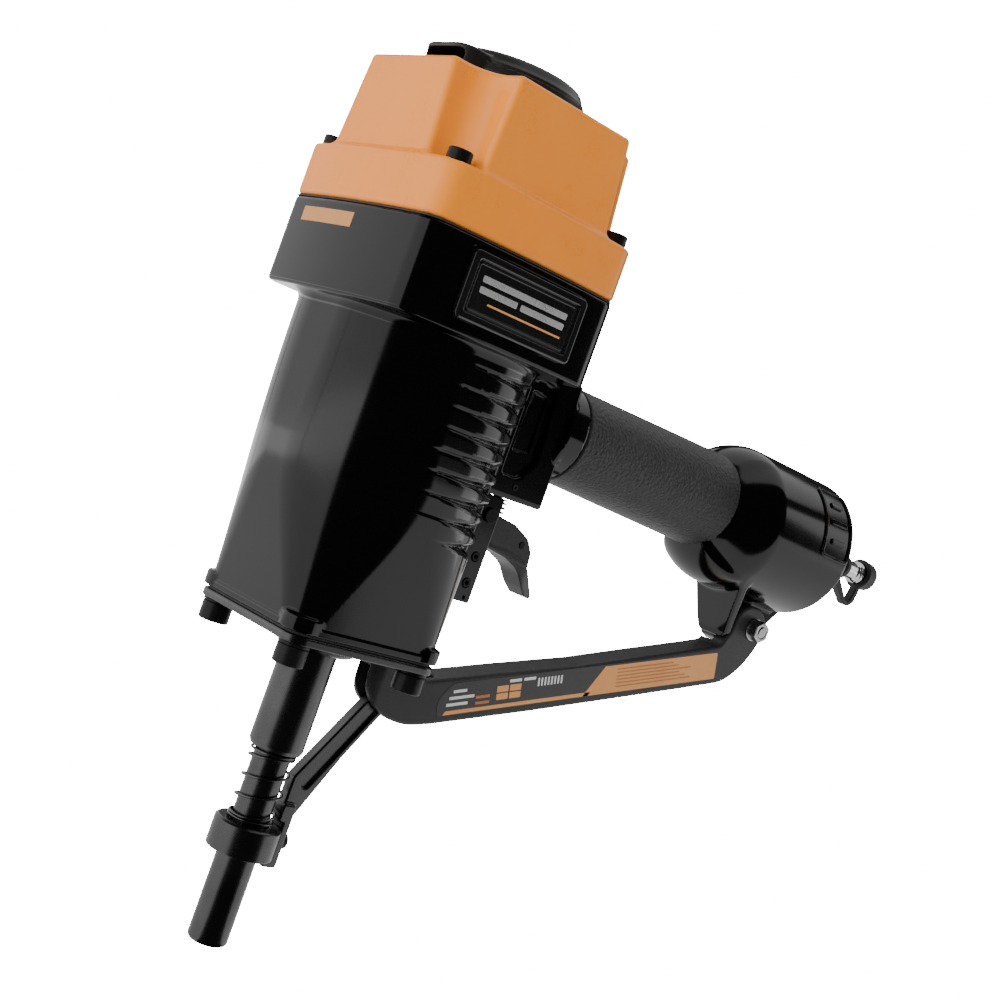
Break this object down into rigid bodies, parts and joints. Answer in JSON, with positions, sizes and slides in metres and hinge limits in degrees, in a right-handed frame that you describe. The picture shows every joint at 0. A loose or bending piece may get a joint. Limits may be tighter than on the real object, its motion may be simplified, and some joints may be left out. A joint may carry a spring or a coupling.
{
  "type": "pneumatic nail gun",
  "caption": "Pneumatic single-shot nail gun for concrete pins: cast body, hollow handle, sprung muzzle tube, guard bar and turning exhaust cover.",
  "frame": {"origin": "centre of the muzzle's mouth, on the drive axis", "axes": "+Z along the drive axis from the muzzle to the cylinder head, +X towards the handle's air inlet, -Y the badge side"},
  "size_m": [0.3988, 0.1106, 0.3842],
  "materials": {
    "casting_black": "gloss black enamel on cast magnesium",
    "head_orange": "orange powder coat, satin gloss",
    "gasket": "matt",
    "black_oxide": "black oxide",
    "badge_black": "gloss",
    "badge_silver": "satin print",
    "sleeve_alu": "hard anodised",
    "o_ring": "satin",
    "bumper_urethane": "satin",
    "phosphated_steel": "manganese phosphate, oiled",
    "grip_rubber": "fine grain",
    "screen_brass": "woven",
    "plug_chrome": "polished",
    "cap_rubber": "satin",
    "guard_grey": "satin black powder coat",
    "label_print": "printed film",
    "zinc_steel": "bright zinc",
    "spring_steel": "oiled",
    "trigger_steel": "satin black",
    "valve_brass": "turned",
    "ground_steel": "ground",
    "piston_alu": "turned",
    "deflector_black": "satin moulded"
  },
  "bodies": {
    "tool_body": {"housing": "casting_black", "cylinder_head": "head_orange", "cap_gasket": "gasket", "cap_screws": "black_oxide", "badge_frame": "badge_black", "badge_plate": "badge_silver", "cylinder_sleeve": "sleeve_alu", "sleeve_o_rings": "o_ring", "bumper": "bumper_urethane", "base_gasket": "gasket", "nose_plate": "phosphated_steel", "nose_barrel": "phosphated_steel", "base_screws": "black_oxide", "base_lock_washers": "black_oxide", "flange_dowel": "black_oxide", "grip_sleeve": "grip_rubber", "inlet_screen": "screen_brass", "air_plug": "plug_chrome", "dust_cap": "cap_rubber", "guard_bar": "guard_grey", "guard_label": "label_print", "guard_front_screw": "black_oxide", "guard_bolt": "zinc_steel", "guard_washers": "zinc_steel", "guard_nut": "zinc_steel", "trigger_bracket": "casting_black", "bracket_pins": "black_oxide", "bracket_screws": "black_oxide", "trigger_pivot_pin": "black_oxide", "valve_body": "valve_brass", "valve_body_o_rings": "o_ring", "valve_roll_pin": "black_oxide", "valve_spring": "spring_steel", "trigger_spring": "spring_steel", "head_valve_spring": "spring_steel", "contact_spring": "spring_steel", "deflector_screw": "black_oxide"},
    "contact": {"muzzle_tube": "phosphated_steel", "contact_collar": "phosphated_steel", "collar_screw": "black_oxide", "pin_magnet": "zinc_steel", "contact_arm": "phosphated_steel", "safety_rod": "phosphated_steel", "rod_rivets": "black_oxide"},
    "trigger": {"trigger": "trigger_steel", "lever_pin": "black_oxide"},
    "lever": {"trigger_lever": "ground_steel"},
    "stem": {"valve_stem": "ground_steel", "stem_o_ring": "o_ring"},
    "drive_piston": {"piston": "piston_alu", "piston_ring": "o_ring", "driver_blade": "ground_steel"},
    "head_valve": {"head_valve": "piston_alu", "head_valve_ring": "o_ring", "head_valve_seal": "o_ring"},
    "deflector": {"exhaust_deflector": "deflector_black"}
  },
  "joints": [
    {"name": "contact_press", "type": "slide", "parent": "tool_body", "child": "contact", "axis": [0, 0, 1], "range_m": [0, 0.016], "stiffness_N_per_m": 900, "springref_m": -0.02, "deforming": ["contact_spring"]},
    {"name": "trigger_pull", "type": "hinge", "parent": "tool_body", "child": "trigger", "pos_m": [0.0589, 0, 0.2069], "axis": [0, -1, 0], "range_deg": [0, 12], "stiffness_Nm_per_rad": 0.6, "springref_deg": -28.65, "deforming": ["trigger_spring"]},
    {"name": "lever_lift", "type": "hinge", "parent": "trigger", "child": "lever", "pos_m": [0.086, 0, 0.1987], "axis": [0, 1, 0], "range_deg": [0, 8]},
    {"name": "stem_push", "type": "slide", "parent": "tool_body", "child": "stem", "axis": [0, 0, 1], "range_m": [0, 0.0026], "deforming": ["valve_spring"]},
    {"name": "piston_drive", "type": "slide", "parent": "tool_body", "child": "drive_piston", "axis": [0, 0, -1], "range_m": [0, 0.11]},
    {"name": "head_valve_lift", "type": "slide", "parent": "tool_body", "child": "head_valve", "axis": [0, 0, 1], "range_m": [0, 0.006], "stiffness_N_per_m": 2500, "springref_m": -0.01, "deforming": ["head_valve_spring"]},
    {"name": "deflector_turn", "type": "hinge", "parent": "tool_body", "child": "deflector", "pos_m": [0, 0, 0.37], "axis": [0, 0, 1], "continuous": true}
  ],
  "couplings": [
    {"joint": "stem_push", "follows": "trigger_pull", "m_per_rad": 0.01241},
    {"joint": "lever_lift", "follows": "contact_press", "rad_per_m": 8.7266}
  ]
}
